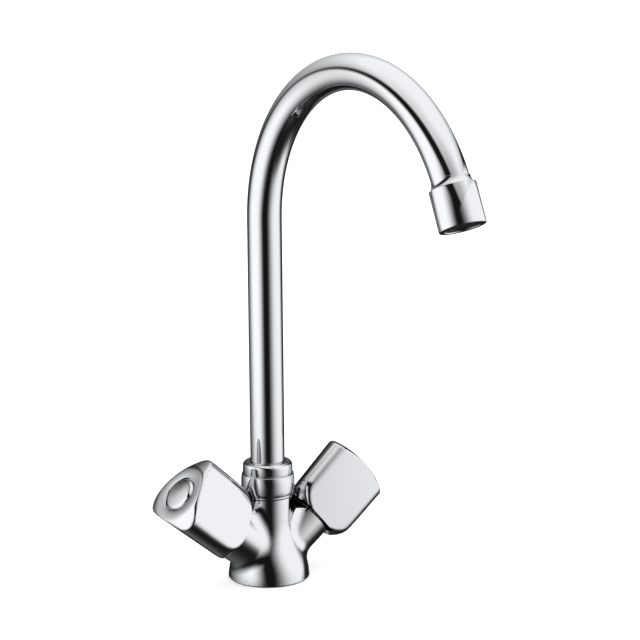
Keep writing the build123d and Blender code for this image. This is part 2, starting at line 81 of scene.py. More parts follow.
def add_node(tree, kind, settings=None, **inputs):
    """Add a node, set its properties, and set or link its inputs by name or number."""
    node = tree.nodes.new(kind)
    for name, value in (settings or {}).items():
        setattr(node, name, value)
    for name, value in inputs.items():
        key = int(name[1:]) if name[0] == "_" and name[1:].isdigit() else name.replace("_", " ")
        if isinstance(value, bpy.types.NodeSocket):
            tree.links.new(value, node.inputs[key])
        else:
            node.inputs[key].default_value = value
    return node


print("middle grey, linear:", [round(c, 3) for c in linear("#808080")])

# %% [markdown]
# ## The camera
#
# A long lens from a little over a metre keeps the pipe's sides parallel, as in a catalogue
# picture. The camera is placed by the two angles it looks along, instead of by aiming it at an
# empty, because then nothing has to follow.

# %% The camera
VIEW_AZIMUTH = radians(-35.22)
VIEW_ELEVATION = radians(11.43)
VIEW_ROLL = radians(-0.46)
CAMERA_PLACE = Vector((-0.68298, -1.02172, 0.40211))
SENSOR_WIDTH = 36           # in millimetres, as is the lens
LENS = 122.3

to_camera = Vector((sin(VIEW_AZIMUTH) * cos(VIEW_ELEVATION),
                    -cos(VIEW_AZIMUTH) * cos(VIEW_ELEVATION),
                    sin(VIEW_ELEVATION)))
to_right = Vector((cos(VIEW_AZIMUTH), sin(VIEW_AZIMUTH), 0))
turn_to_view = Matrix((to_right, to_camera.cross(to_right), to_camera)).transposed().to_4x4()

camera_data = bpy.data.cameras.new("camera")
camera_data.sensor_width = SENSOR_WIDTH
camera_data.lens = LENS
camera = bpy.data.objects.new("camera", camera_data)
camera.matrix_world = (Matrix.Translation(CAMERA_PLACE) @ turn_to_view
                       @ Matrix.Rotation(VIEW_ROLL, 4, "Z"))
bpy.context.scene.collection.objects.link(camera)
bpy.context.scene.camera = camera
print("the camera stands", round(CAMERA_PLACE.length, 2), "m away")

# %% [markdown]
# ## The studio that chrome reflects
#
# Polished chrome has hardly any colour of its own: what we see on it is the room. Catalogue
# photographers stand it in a tent of white paper about a metre wide, between two large soft
# boxes, and leave black gaps, because the black draws the outlines and the long dark stripe down
# the middle of the pipe.
#
# The room could be painted on the world, but the world is infinitely far away, and then the spout
# and the handles would mirror the same things. Here it is painted on a dome of the tent's real
# size. Each panel is the part of the dome on the inner side of its edges, and each edge is a
# plane that cuts the dome.

# %% The studio
DOME_RADIUS = 0.527
DOME_CENTRE = Vector((-0.045, -0.238, 0.276))
studio = bpy.data.materials.new("studio_light")
studio.use_nodes = True
studio.cycles.emission_sampling = "NONE"    # only mirror rays find it
sky = studio.node_tree
sky.nodes.clear()
on_dome = add_node(sky, "ShaderNodeTexCoord").outputs["Object"]
from_centre = add_node(sky, "ShaderNodeVectorMath", {"operation": "SUBTRACT"},
                       _0=on_dome, _1=DOME_CENTRE).outputs[0]
sky_direction = add_node(sky, "ShaderNodeVectorMath", {"operation": "NORMALIZE"},
                         _0=from_centre).outputs[0]


def studio_direction(azimuth, elevation):
    """A direction in the room: degrees from the camera towards its right, and degrees up."""
    a, e = VIEW_AZIMUTH + radians(azimuth), radians(elevation)
    return Vector((sin(a) * cos(e), -cos(a) * cos(e), sin(e)))


def soft_panel(*edges):
    """Brightness of a panel: 1 on the inner side of all its edges.

    An edge is (azimuth, elevation, place, softness). The two angles point square to its plane, to
    the lit side. The place is the plane's distance from the middle of the dome in radii, so 0
    gives a straight edge and more or less gives a round one.
    """
    panel = None
    for azimuth, elevation, place, softness in edges:
        distance = add_node(sky, "ShaderNodeVectorMath", {"operation": "DOT_PRODUCT"},
                            _0=sky_direction, _1=studio_direction(azimuth, elevation))
        inside = add_node(sky, "ShaderNodeMapRange", {"interpolation_type": "SMOOTHSTEP"},
                          Value=distance.outputs["Value"],
                          From_Min=place - softness, From_Max=place + softness)
        if panel is None:
            panel = inside.outputs["Result"]
        else:
            panel = add_node(sky, "ShaderNodeMath", {"operation": "MULTIPLY"},
                             _0=panel, _1=inside.outputs["Result"]).outputs[0]
    return panel


# Azimuth and elevation in degrees, place and softness in radii of the dome.
LEFT_BOX_EDGES = (
    (37, 4, -0.986, 0.023),
    (-128, -4, 0.223, 0.47),
    (-74, 45, -0.0611, 0.35),
    (-44, -65, -0.0334, 0.084),
    (-8, 2, -0.528, 0.33),
    (-36, 55, -0.631, 0.038),
)
RIGHT_BOX_EDGES = (
    (129, 18, 0.0533, 0.62),
    (17, 0, -0.624, 0.19),
    (153, 98, -0.894, 0.12),
    (54, -58, -0.091, 0.035),
    (-5, 53, -0.941, 0.064),
    (-15, 37, -0.991, 0.012),
)
TENT_EDGES = (
    (-44, 135, 0.0814, 0.083),
    (124, 149, -0.658, 0.047),
    (22, 201, -0.937, 0.45),
)
left_box = soft_panel(*LEFT_BOX_EDGES)
right_box = soft_panel(*RIGHT_BOX_EDGES)
tent = soft_panel(*TENT_EDGES)
print("studio nodes:", len(sky.nodes))

# %% [markdown]
# The paper tent isn't evenly lit: it is brightest above and behind the faucet, and greyer down at
# its hem. Two straight ramps give that, one along a slanting direction and one up.

# %% The tent's shading
PLATE_BRIGHTNESS = 0.56     # share of the light that chrome gives back
DARK_GAP = 0.0071
LEFT_LIGHT = 0.94           # brightness of the left soft box, and of the right one
RIGHT_LIGHT = 0.86
TENT_LEAN = studio_direction(136, -3)
STRAIGHT_UP = studio_direction(0, 90)
BACK_FROM, BACK_TO = -0.61, -0.06           # where the first ramp starts and ends, in radii
FRONT_PAPER, BACK_PAPER = 0.62, 0.87       # and the paper's brightness there
HEM_FROM, HEM_TO = -0.01, 0.61
HEM_PAPER, TOP_PAPER = 0.08, 0.99

sky_tilt = add_node(sky, "ShaderNodeVectorMath", {"operation": "DOT_PRODUCT"},
                    _0=sky_direction, _1=TENT_LEAN)
sky_height = add_node(sky, "ShaderNodeVectorMath", {"operation": "DOT_PRODUCT"},
                      _0=sky_direction, _1=STRAIGHT_UP)
to_the_back = add_node(sky, "ShaderNodeMapRange", Value=sky_tilt.outputs["Value"],
                       From_Min=BACK_FROM, From_Max=BACK_TO,
                       To_Min=FRONT_PAPER, To_Max=BACK_PAPER).outputs["Result"]
to_the_top = add_node(sky, "ShaderNodeMapRange", Value=sky_height.outputs["Value"],
                      From_Min=HEM_FROM, From_Max=HEM_TO,
                      To_Min=HEM_PAPER, To_Max=TOP_PAPER).outputs["Result"]
paper = add_node(sky, "ShaderNodeMath", {"operation": "MULTIPLY"},
                 _0=to_the_back, _1=to_the_top).outputs[0]
paper = add_node(sky, "ShaderNodeMath", {"operation": "MULTIPLY"}, _0=paper, _1=tent).outputs[0]
left_light = add_node(sky, "ShaderNodeMath", {"operation": "MULTIPLY"},
                      _0=left_box, _1=LEFT_LIGHT).outputs[0]
boxes = add_node(sky, "ShaderNodeMath", {"operation": "MULTIPLY_ADD"},
                 _0=right_box, _1=RIGHT_LIGHT, _2=left_light).outputs[0]
room = add_node(sky, "ShaderNodeMath", {"operation": "MAXIMUM"}, _0=paper, _1=boxes).outputs[0]
room = add_node(sky, "ShaderNodeMath", {"operation": "ADD"}, _0=room, _1=DARK_GAP).outputs[0]
glow = add_node(sky, "ShaderNodeEmission", Color=room, Strength=1 / PLATE_BRIGHTNESS).outputs[0]
add_node(sky, "ShaderNodeOutputMaterial", Surface=glow)
print("studio nodes:", len(sky.nodes))

# %% [markdown]
# Only mirror rays see the dome. The camera looks through it at a white backdrop, and the table is
# lit by the same even white, which is the world.

# %% The dome and the backdrop
DOME_SEGMENTS = 96
DOME_RINGS = 48
BACKDROP_LIGHT = 1.2        # a little over 1, so that the backdrop is pure white
dome_mesh = bmesh.new()
bmesh.ops.create_uvsphere(dome_mesh, u_segments=DOME_SEGMENTS, v_segments=DOME_RINGS,
                          radius=DOME_RADIUS)
bmesh.ops.translate(dome_mesh, verts=dome_mesh.verts, vec=DOME_CENTRE)
dome_data = bpy.data.meshes.new("studio_dome")
dome_mesh.to_mesh(dome_data)
dome_mesh.free()
dome_data.materials.append(studio)
dome = bpy.data.objects.new("studio_dome", dome_data)
bpy.context.scene.collection.objects.link(dome)
dome.visible_camera = dome.visible_diffuse = False
dome.visible_transmission = dome.visible_shadow = False

world = bpy.data.worlds.new("white_backdrop")
bpy.context.scene.world = world
world.use_nodes = True
backdrop = world.node_tree.nodes["Background"]
backdrop.inputs["Color"].default_value = linear("#FFFFFF")
backdrop.inputs["Strength"].default_value = BACKDROP_LIGHT
bpy.context.scene.view_settings.view_transform = "Standard"
print("the dome is", round(2 * DOME_RADIUS, 2), "m wide")

# %% [markdown]
# ## The table
#
# A sheet of white paper, larger than the picture shows. The polish doesn't reflect it, because
# the dark gap under the soft boxes is what gives the chrome its dark lower edges in the
# photograph. Paper on a light table glows a little from below, which leaves only a faint shadow
# where the foot touches it.

# %% The table
TABLE_HALF = 30             # metres from its middle to its edge, past anything that shows
PAPER_ROUGHNESS = 0.9
PAPER_SHEEN = 0.1
PAPER_GLOW = 0.35
table_mesh = bmesh.new()
bmesh.ops.create_grid(table_mesh, x_segments=1, y_segments=1, size=TABLE_HALF)
table_data = bpy.data.meshes.new("table")
table_mesh.to_mesh(table_data)
table_mesh.free()
table = bpy.data.objects.new("table", table_data)
bpy.context.scene.collection.objects.link(table)
table.visible_glossy = False
paper_finish = bpy.data.materials.new("white_paper")
paper_finish.use_nodes = True
paper_shader = paper_finish.node_tree.nodes["Principled BSDF"]
paper_shader.inputs["Base Color"].default_value = linear("#F2F2F1")
paper_shader.inputs["Roughness"].default_value = PAPER_ROUGHNESS
paper_shader.inputs["Specular IOR Level"].default_value = PAPER_SHEEN
paper_shader.inputs["Emission Color"].default_value = linear("#FFFFFF")
paper_shader.inputs["Emission Strength"].default_value = PAPER_GLOW
table_data.materials.append(paper_finish)
print("table:", [round(v, 1) for v in table.dimensions])

# %% [markdown]
# ## Chrome plate
#
# The body and the handles are zinc or brass castings, buffed on a cotton wheel and plated with
# nickel and a breath of chrome. Buffing never makes them quite flat, so their reflections swim a
# little, and the wheel leaves a haze that is a touch rougher in some places than in others.
#
# Each finish starts with `new_finish`, which makes the material and gives back its node tree and
# its shader. The pattern is laid on the object's own coordinates in metres, so a scale is one
# over a real length. A noise runs from 0 to 1 but keeps near its middle, so a Map Range node
# stretches a part of it, such as HAZE_NOISE, over the roughness that the finish needs, such as
# HAZE_ROUGHNESS.

# %% Chrome on the castings
def new_finish(name, colour, metallic, roughness):
    """A material, its node tree and its shader, with the plain settings made."""
    finish = bpy.data.materials.new(name)
    finish.use_nodes = True
    shader = finish.node_tree.nodes["Principled BSDF"]
    shader.inputs["Base Color"].default_value = linear(colour)
    shader.inputs["Metallic"].default_value = metallic
    shader.inputs["Roughness"].default_value = roughness
    return finish, finish.node_tree, shader


CHROME_COLOUR = "#C4C6C8"
BUFFING_WAVE = 14 * MM      # from one low place left by the wheel to the next
BUFFING_DEPTH = 0.004 * MM
HAZE_PATCH = 9 * MM
HAZE_DETAIL = 4
HAZE_NOISE = (0.35, 0.7)
HAZE_ROUGHNESS = (0.015, 0.055)
buffed_chrome, tree, shader = new_finish(
    "chrome_plated_casting", CHROME_COLOUR, metallic=1, roughness=0.03)
place = add_node(tree, "ShaderNodeTexCoord").outputs["Object"]
haze = add_node(tree, "ShaderNodeTexNoise", Vector=place, Scale=1 / HAZE_PATCH, Detail=HAZE_DETAIL)
gloss = add_node(tree, "ShaderNodeMapRange", Value=haze.outputs["Fac"],
                 From_Min=HAZE_NOISE[0], From_Max=HAZE_NOISE[1],
                 To_Min=HAZE_ROUGHNESS[0], To_Max=HAZE_ROUGHNESS[1])
tree.links.new(gloss.outputs["Result"], shader.inputs["Roughness"])
wave = add_node(tree, "ShaderNodeTexNoise", Vector=place, Scale=1 / BUFFING_WAVE, Detail=1)
relief = add_node(tree, "ShaderNodeBump", Strength=1, Distance=BUFFING_DEPTH,
                  Height=wave.outputs["Fac"])
tree.links.new(relief.outputs["Normal"], shader.inputs["Normal"])
print("chrome's colour, linear:", [round(c, 3) for c in linear(CHROME_COLOUR)])

# %% [markdown]
# The plating bath hardly reaches into a hollow handle, and nobody buffs it there. So the inside
# stays as it came from the mould: dull zinc and a little grainy. Its colour is painted dark, as
# painted shade, which is why the gap under the skirt looks black.

# %% Raw zinc inside the handles, painted dark as shade
CASTING_GRAIN = 0.8 * MM
CASTING_ROUGHNESS = (0.5, 0.75)
# the dark colour is painted shade for the hollow under the skirt
dull_zinc_painted_as_shade, tree, shader = new_finish(
    "zinc_unplated_painted_dark_as_shade", "#4A4B4D", metallic=1, roughness=0.6)
place = add_node(tree, "ShaderNodeTexCoord").outputs["Object"]
grain = add_node(tree, "ShaderNodeTexNoise", Vector=place, Scale=1 / CASTING_GRAIN, Detail=3)
gloss = add_node(tree, "ShaderNodeMapRange", Value=grain.outputs["Fac"],
                 To_Min=CASTING_ROUGHNESS[0], To_Max=CASTING_ROUGHNESS[1])
tree.links.new(gloss.outputs["Result"], shader.inputs["Roughness"])
print("grain of the raw casting in mm:", CASTING_GRAIN / MM)

# %% [markdown]
# The nut, the washer, the outlet and the pipe are turned or drawn before they are plated. Their
# polish is better, and what is left of the tool runs round them, or along the pipe. Both are far
# too fine for a picture of the whole faucet, so they are drawn coarser, as faint marks about half
# a millimetre wide, which only shade the gloss.

# %% Chrome on turned pieces and on the pipe
WAVE_LENGTH = pi / 10       # of Blender's wave texture at scale 1, in metres
TOOL_PITCH = 0.5 * MM
TOOL_WOBBLE = 0.6
GRAIN_LENGTH = 30 * MM
GRAIN_WIDTH = 0.6 * MM
TURNED_ROUGHNESS = (0.015, 0.045)
DRAWN_NOISE = (0.3, 0.7)
DRAWN_ROUGHNESS = (0.012, 0.03)
turned_chrome, tree, shader = new_finish(
    "chrome_plated_turned_brass", CHROME_COLOUR, metallic=1, roughness=0.025)
place = add_node(tree, "ShaderNodeTexCoord").outputs["Object"]
marks = add_node(tree, "ShaderNodeTexWave", {"wave_type": "BANDS", "bands_direction": "Z"},
                 Vector=place, Scale=WAVE_LENGTH / TOOL_PITCH, Distortion=TOOL_WOBBLE, Detail=2)
gloss = add_node(tree, "ShaderNodeMapRange", Value=marks.outputs["Fac"],
                 To_Min=TURNED_ROUGHNESS[0], To_Max=TURNED_ROUGHNESS[1])
tree.links.new(gloss.outputs["Result"], shader.inputs["Roughness"])

drawn_chrome, tree, shader = new_finish(
    "chrome_plated_drawn_pipe", CHROME_COLOUR, metallic=1, roughness=0.02)
place = add_node(tree, "ShaderNodeTexCoord").outputs["Object"]
stretch = add_node(tree, "ShaderNodeMapping", Vector=place,
                   Scale=(1 / GRAIN_WIDTH, 1 / GRAIN_WIDTH, 1 / GRAIN_LENGTH)).outputs["Vector"]
grain = add_node(tree, "ShaderNodeTexNoise", Vector=stretch, Scale=1, Detail=2)
gloss = add_node(tree, "ShaderNodeMapRange", Value=grain.outputs["Fac"],
                 From_Min=DRAWN_NOISE[0], From_Max=DRAWN_NOISE[1],
                 To_Min=DRAWN_ROUGHNESS[0], To_Max=DRAWN_ROUGHNESS[1])
tree.links.new(gloss.outputs["Result"], shader.inputs["Roughness"])
print("wave scale for the tool marks:", round(WAVE_LENGTH / TOOL_PITCH))

# %% [markdown]
# ## Turned brass
#
# Under the handles sit the headworks and the spindles, and inside the nut the pipe's foot. It is
# machined from bar and left bare: a warm yellow, with rings from the tool that catch the light,
# and a little brown where it has been handled. Inside the arms and handles it is painted a much
# darker brown, as painted shade, so that hardly any yellow shows in the narrow gap under a
# skirt. The arms lean, so a Mapping node turns the rings to each arm's axis.

# %% Turned brass for each axis
ARM_TILT = radians(40)
RING_PITCH = 0.35 * MM
RING_DEPTH = 0.01 * MM
RING_STRENGTH = 0.4
RING_WOBBLE = 0.4
TARNISH_PATCH = 6 * MM
BRASS_ROUGHNESS = (0.18, 0.36)
PLAIN_BRASS = ("#D2AE60", "#A9823A")
# painted shade: the arms' brass is darkened so the gap under each skirt shows no yellow
PAINTED_SHADE_BRASS = ("#7C6339", "#57452A")


def turned_brass(name, lean, shades):
    """Bare brass between two shades, with rings round an axis that leans to +X by an angle."""
    finish, tree, shader = new_finish(name, "#C9A24F", metallic=1, roughness=0.25)
    place = add_node(tree, "ShaderNodeTexCoord").outputs["Object"]
    along = add_node(tree, "ShaderNodeMapping", Vector=place,
                     Rotation=(0, -lean, 0)).outputs["Vector"]
    rings = add_node(tree, "ShaderNodeTexWave", {"wave_type": "BANDS", "bands_direction": "Z"},
                     Vector=along, Scale=WAVE_LENGTH / RING_PITCH, Distortion=RING_WOBBLE, Detail=1)
    relief = add_node(tree, "ShaderNodeBump", Strength=RING_STRENGTH, Distance=RING_DEPTH,
                      Height=rings.outputs["Fac"])
    tree.links.new(relief.outputs["Normal"], shader.inputs["Normal"])
    tarnish = add_node(tree, "ShaderNodeTexNoise", Vector=place, Scale=1 / TARNISH_PATCH, Detail=4)
    colour = add_node(tree, "ShaderNodeMix", {"data_type": "RGBA"}, _0=tarnish.outputs["Fac"],
                      _6=linear(shades[0]), _7=linear(shades[1]))
    tree.links.new(colour.outputs[2], shader.inputs["Base Color"])
    gloss = add_node(tree, "ShaderNodeMapRange", Value=tarnish.outputs["Fac"],
                     To_Min=BRASS_ROUGHNESS[0], To_Max=BRASS_ROUGHNESS[1])
    tree.links.new(gloss.outputs["Result"], shader.inputs["Roughness"])
    return finish


brass_of_body = {"root": turned_brass("turned_brass", 0, PLAIN_BRASS),
                 "spout": turned_brass("turned_brass_foot", 0, PLAIN_BRASS)}
# each arm's brass gets the darker colours, which are painted shade
for arm, side in (("hot", -1), ("cold", 1)):
    lean = side * (pi / 2 - ARM_TILT)
    brass_of_body[arm] = turned_brass(f"turned_brass_{arm}", lean, PAINTED_SHADE_BRASS)
print("brass finishes:", sorted(finish.name for finish in brass_of_body.values()))

# %% [markdown]
# ## Rubber
#
# The seals and the valves' washers are EPDM rubber, moulded: nearly black, dull, with a faint
# grey bloom that comes out of the rubber as it ages.

# %% EPDM rubber
BLOOM_PATCH = 2.5 * MM
BLOOM_DEPTH = 0.02 * MM
BLOOM_STRENGTH = 0.3
RUBBER_ROUGHNESS = (0.5, 0.72)
rubber, tree, shader = new_finish(
    "moulded_epdm_rubber", "#1C1C1D", metallic=0, roughness=0.6)
place = add_node(tree, "ShaderNodeTexCoord").outputs["Object"]
bloom = add_node(tree, "ShaderNodeTexNoise", Vector=place, Scale=1 / BLOOM_PATCH, Detail=5)
colour = add_node(tree, "ShaderNodeMix", {"data_type": "RGBA"}, _0=bloom.outputs["Fac"],
                  _6=linear("#161617"), _7=linear("#2B2B2C"))
tree.links.new(colour.outputs[2], shader.inputs["Base Color"])
gloss = add_node(tree, "ShaderNodeMapRange", Value=bloom.outputs["Fac"],
                 To_Min=RUBBER_ROUGHNESS[0], To_Max=RUBBER_ROUGHNESS[1])
tree.links.new(gloss.outputs["Result"], shader.inputs["Roughness"])
relief = add_node(tree, "ShaderNodeBump", Strength=BLOOM_STRENGTH, Distance=BLOOM_DEPTH,
                  Height=bloom.outputs["Fac"])
tree.links.new(relief.outputs["Normal"], shader.inputs["Normal"])

print("rubber's bloom, a patch in mm:", BLOOM_PATCH / MM)

# %% [markdown]
# ## Acetal
#
# The slide rings, the splined inserts of the handles and the headworks' seals are acetal, a white
# plastic with a waxy gloss that lets a little light in. The outlet's insert and screen are black
# acetal. Both show faint streaks where the plastic flowed into the mould.

# %% White and black acetal
FLOW_MARK = 4 * MM
FLOW_SWIRL = 1.5
LIGHT_REACH = (1.2 * MM, 1.0 * MM, 0.8 * MM)   # of red, green and blue light into the plastic
ACETAL_ROUGHNESS = (0.28, 0.45)


def moulded_acetal(name, colour, shade, translucent):
    """Acetal from a polished mould: waxy gloss, faint flow marks between two shades."""
    finish, tree, shader = new_finish(name, colour, metallic=0, roughness=0.35)
    shader.inputs["Subsurface Weight"].default_value = translucent
    shader.inputs["Subsurface Radius"].default_value = LIGHT_REACH
    shader.inputs["Subsurface Scale"].default_value = 1
    place = add_node(tree, "ShaderNodeTexCoord").outputs["Object"]
    flow = add_node(tree, "ShaderNodeTexNoise", Vector=place, Scale=1 / FLOW_MARK, Detail=3,
                    Distortion=FLOW_SWIRL)
    streaks = add_node(tree, "ShaderNodeMix", {"data_type": "RGBA"}, _0=flow.outputs["Fac"],
                       _6=linear(colour), _7=linear(shade))
    tree.links.new(streaks.outputs[2], shader.inputs["Base Color"])
    gloss = add_node(tree, "ShaderNodeMapRange", Value=flow.outputs["Fac"],
                     To_Min=ACETAL_ROUGHNESS[0], To_Max=ACETAL_ROUGHNESS[1])
    tree.links.new(gloss.outputs["Result"], shader.inputs["Roughness"])
    return finish


white_acetal = moulded_acetal("moulded_white_acetal", "#E2DFD6", "#CFCBC0", translucent=0.15)
black_acetal = moulded_acetal("moulded_black_acetal", "#303134", "#232427", translucent=0)

print("acetal's shades:", white_acetal.name, black_acetal.name)

# %% [markdown]
# ## Zinc plated steel
#
# The clips and the handles' screws are zinc plated steel, bright, with a slight blue and yellow
# cloud from the passivating bath.

# %% Zinc plated steel
PASSIVATION_CLOUD = 3 * MM
STEEL_ROUGHNESS = (0.22, 0.42)
steel, tree, shader = new_finish("zinc_plated_steel", "#B9BCC0", metallic=1, roughness=0.3)
place = add_node(tree, "ShaderNodeTexCoord").outputs["Object"]
cloud = add_node(tree, "ShaderNodeTexNoise", Vector=place, Scale=1 / PASSIVATION_CLOUD, Detail=3)
colour = add_node(tree, "ShaderNodeMix", {"data_type": "RGBA"}, _0=cloud.outputs["Fac"],
                  _6=linear("#AEB6C2"), _7=linear("#C9C3AE"))
tree.links.new(colour.outputs[2], shader.inputs["Base Color"])
gloss = add_node(tree, "ShaderNodeMapRange", Value=cloud.outputs["Fac"],
                 To_Min=STEEL_ROUGHNESS[0], To_Max=STEEL_ROUGHNESS[1])
tree.links.new(gloss.outputs["Result"], shader.inputs["Roughness"])
print("finishes so far:", len(bpy.data.materials))

# %% [markdown]
# ## Dressing the measured model
#
# Each CAD piece already knows its material slot from the record, so a loop gives every piece the
# finish of its slot. Brass also depends on the arm that the piece sits in. All chrome gets the
# finish of the castings here, because the turned pieces are remade below and bring their own.

# %% Finishes on the measured pieces
finish_of_slot = {"chrome": buffed_chrome, "rubber": rubber, "plastic": white_acetal,
                  "steel": steel, "screen": black_acetal}
for row in frame["record"]["subparts"]:
    node_name, slot = row["node"], row["material_slot"]
    arm = node_name.split("_")[0]
    if slot == "brass":
        finish = brass_of_body.get(arm, brass_of_body["spout"])
    else:
        finish = finish_of_slot[slot]
    frame["nodes"][node_name].data.materials.clear()
    frame["nodes"][node_name].data.materials.append(finish)

# %% [markdown]
# ## The pipe
#
# The swan neck is a drawn brass tube of 20 mm, bent round a wheel in one go. A mirror shows every
# facet, so the pipe is remade much finer than the measured model needs: a circle is extruded up
# the straight riser, then spun round the bend's axis, and the wall gets its thickness last.

# %% The pipe
PIPE_RADIUS = 10 * MM
PIPE_WALL = 1 * MM
PIPE_START = 62.9 * MM      # on the collar of the pipe's foot, inside the nut
BEND_HEIGHT = 213.1 * MM
BEND_RADIUS = 89.5 * MM
BEND_SWEEP = radians(156.5)
ROUND_STEPS = 160
BEND_STEPS = 180


def new_piece(name, shape, finish, body, *nodes, crease=35):
    """Make a bmesh a piece that rides on a body and stands for the CAD nodes."""
    for face in shape.faces:
        face.smooth = True
    data = bpy.data.meshes.new(name)
    shape.to_mesh(data)
    shape.free()
    data.set_sharp_from_angle(angle=radians(crease))
    data.materials.append(finish)
    piece = bpy.data.objects.new(name, data)
    bpy.context.scene.collection.objects.link(piece)
    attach(piece, body)
    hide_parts(*nodes)
    print(name, "has", len(data.polygons), "faces")
    return piece


pipe = bmesh.new()
ring = bmesh.ops.create_circle(pipe, segments=ROUND_STEPS, radius=PIPE_RADIUS)["verts"]
bmesh.ops.translate(pipe, verts=ring, vec=(0, 0, PIPE_START))
riser = bmesh.ops.extrude_edge_only(pipe, edges=pipe.edges[:])["geom"]
rim = [part for part in riser if isinstance(part, bmesh.types.BMVert)]
bmesh.ops.translate(pipe, verts=rim, vec=(0, 0, BEND_HEIGHT - PIPE_START))
rim_edges = [edge for edge in pipe.edges if all(vert in rim for vert in edge.verts)]
bmesh.ops.spin(pipe, geom=rim_edges, cent=(0, -BEND_RADIUS, BEND_HEIGHT), axis=(1, 0, 0),
               angle=BEND_SWEEP, steps=BEND_STEPS)
bmesh.ops.recalc_face_normals(pipe, faces=pipe.faces)
bmesh.ops.solidify(pipe, geom=pipe.faces[:], thickness=PIPE_WALL)
new_piece("spout_pipe", pipe, drawn_chrome, "spout", "spout_tube")

# %% [markdown]
# ## Lathe work
#
# The nut, the ring under it, the outlet and the buttons are turned on a lathe, and Blender's spin
# does the same: an outline of half the piece, drawn beside the axis, is swept round once. The
# corners of real plated brass are never sharp, because the buffing wheel takes them down, so
# every corner of the outline is bevelled before it is spun. These small roundings draw the fine
# dark and bright lines round each piece.

# %% A lathe
LEAST_CORNER = radians(15)  # an outline that turns less than this is a curve
CORNER_STEPS = 4
WELD = 0.0001 * MM          # vertices on the axis lie nearer to each other than this


def turned(outline, corner, frame_matrix=Matrix()):
    """Spin a closed outline of (radius, height) points in mm, its corners rounded by corner."""
    shape = bmesh.new()
    points = [shape.verts.new((radius * MM, 0, height * MM)) for radius, height in outline]
    for start, end in zip(points, points[1:] + points[:1]):
        shape.edges.new((start, end))
    corners = [vert for vert in points
               if vert.co.x > 0 and vert.calc_edge_angle(0) > LEAST_CORNER]
    bmesh.ops.bevel(shape, geom=corners, offset=corner * MM, offset_type="OFFSET",
                    segments=CORNER_STEPS, profile=0.5, affect="VERTICES", material=-1)
    bmesh.ops.spin(shape, geom=shape.verts[:] + shape.edges[:], cent=(0, 0, 0), axis=(0, 0, 1),
                   angle=2 * pi, steps=ROUND_STEPS, use_merge=True)
    bmesh.ops.remove_doubles(shape, verts=shape.verts, dist=WELD)
    bmesh.ops.recalc_face_normals(shape, faces=shape.faces)
    bmesh.ops.transform(shape, matrix=frame_matrix, verts=shape.verts)
    return shape


def arc(centre, radius, start, end, steps=10):
    """Points of a round stretch of an outline, from one angle to another in degrees."""
    angles = [radians(start + (end - start) * step / steps) for step in range(steps + 1)]
    return [(centre[0] + radius * cos(angle), centre[1] + radius * sin(angle))
            for angle in angles]


print("a turned piece has", ROUND_STEPS, "steps")

# %% [markdown]
# ## The coupling nut
#
# A G3/4 nut holds the spout down on the body. It has no flats, only a smooth barrel that is
# tightened by a strap or by hand, a fine groove, and a domed shoulder that meets the pipe. A thin
# ring lies under it.

# %% The nut and its ring, in millimetres
NUT_BOTTOM, NUT_TOP = (corner[2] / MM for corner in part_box("spout_nut"))
NUT_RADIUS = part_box("spout_nut")[1][0] / MM
NUT_BORE = 13.15
NUT_LIP = 63.9              # underside of the lip that holds the spout
PIPE_HOLE = 10.3
BARREL_LEAN = 0.4           # how far the barrel draws in at each end
BARREL_FOOT = 2.2           # over these heights
BARREL_HEAD = 3.4
GROOVE = 0.5
RING_RADIUS = 14.5
RING_WALL = 4.3
SHOULDER_RADIUS = 2.6
SHOULDER_TURN = 78
SHOULDER_RISE = 0.25
NUT_CORNER = 0.25
WASHER_CORNER = 0.3

shoulder_start = NUT_TOP - SHOULDER_RISE - SHOULDER_RADIUS * sin(radians(SHOULDER_TURN))
groove_top = shoulder_start - RING_WALL
nut_outline = [
    (PIPE_HOLE, NUT_LIP),
    (NUT_BORE, NUT_LIP),
    (NUT_BORE, NUT_BOTTOM),
    (NUT_RADIUS - BARREL_LEAN, NUT_BOTTOM),
    (NUT_RADIUS, NUT_BOTTOM + BARREL_FOOT),
    (NUT_RADIUS, groove_top - GROOVE - BARREL_HEAD),
    (NUT_RADIUS - BARREL_LEAN, groove_top - GROOVE),
    (RING_RADIUS - GROOVE, groove_top - GROOVE),
    (RING_RADIUS - GROOVE, groove_top),
    (RING_RADIUS, groove_top),
    *arc((RING_RADIUS - SHOULDER_RADIUS, shoulder_start), SHOULDER_RADIUS, 0, SHOULDER_TURN),
    (PIPE_HOLE, NUT_TOP),
]
new_piece("coupling_nut", turned(nut_outline, NUT_CORNER), turned_chrome, "root", "spout_nut")

(_, _, washer_bottom), (washer_radius, _, washer_top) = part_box("nut_washer")
washer_outline = [
    (NUT_BORE, washer_bottom / MM),
    (washer_radius / MM, washer_bottom / MM),
    (washer_radius / MM, washer_top / MM),
    (NUT_BORE, washer_top / MM),
]
ring_shape = turned(washer_outline, WASHER_CORNER)
new_piece("ring_under_nut", ring_shape, turned_chrome, "root", "nut_washer")

# %% [markdown]
# ## The outlet
#
# A collar flares from the pipe like a trumpet's bell, and the aerator's sleeve screws over it.
# Both are drawn along their own axis with the flow as up, and one matrix then carries them to the
# pipe's end.

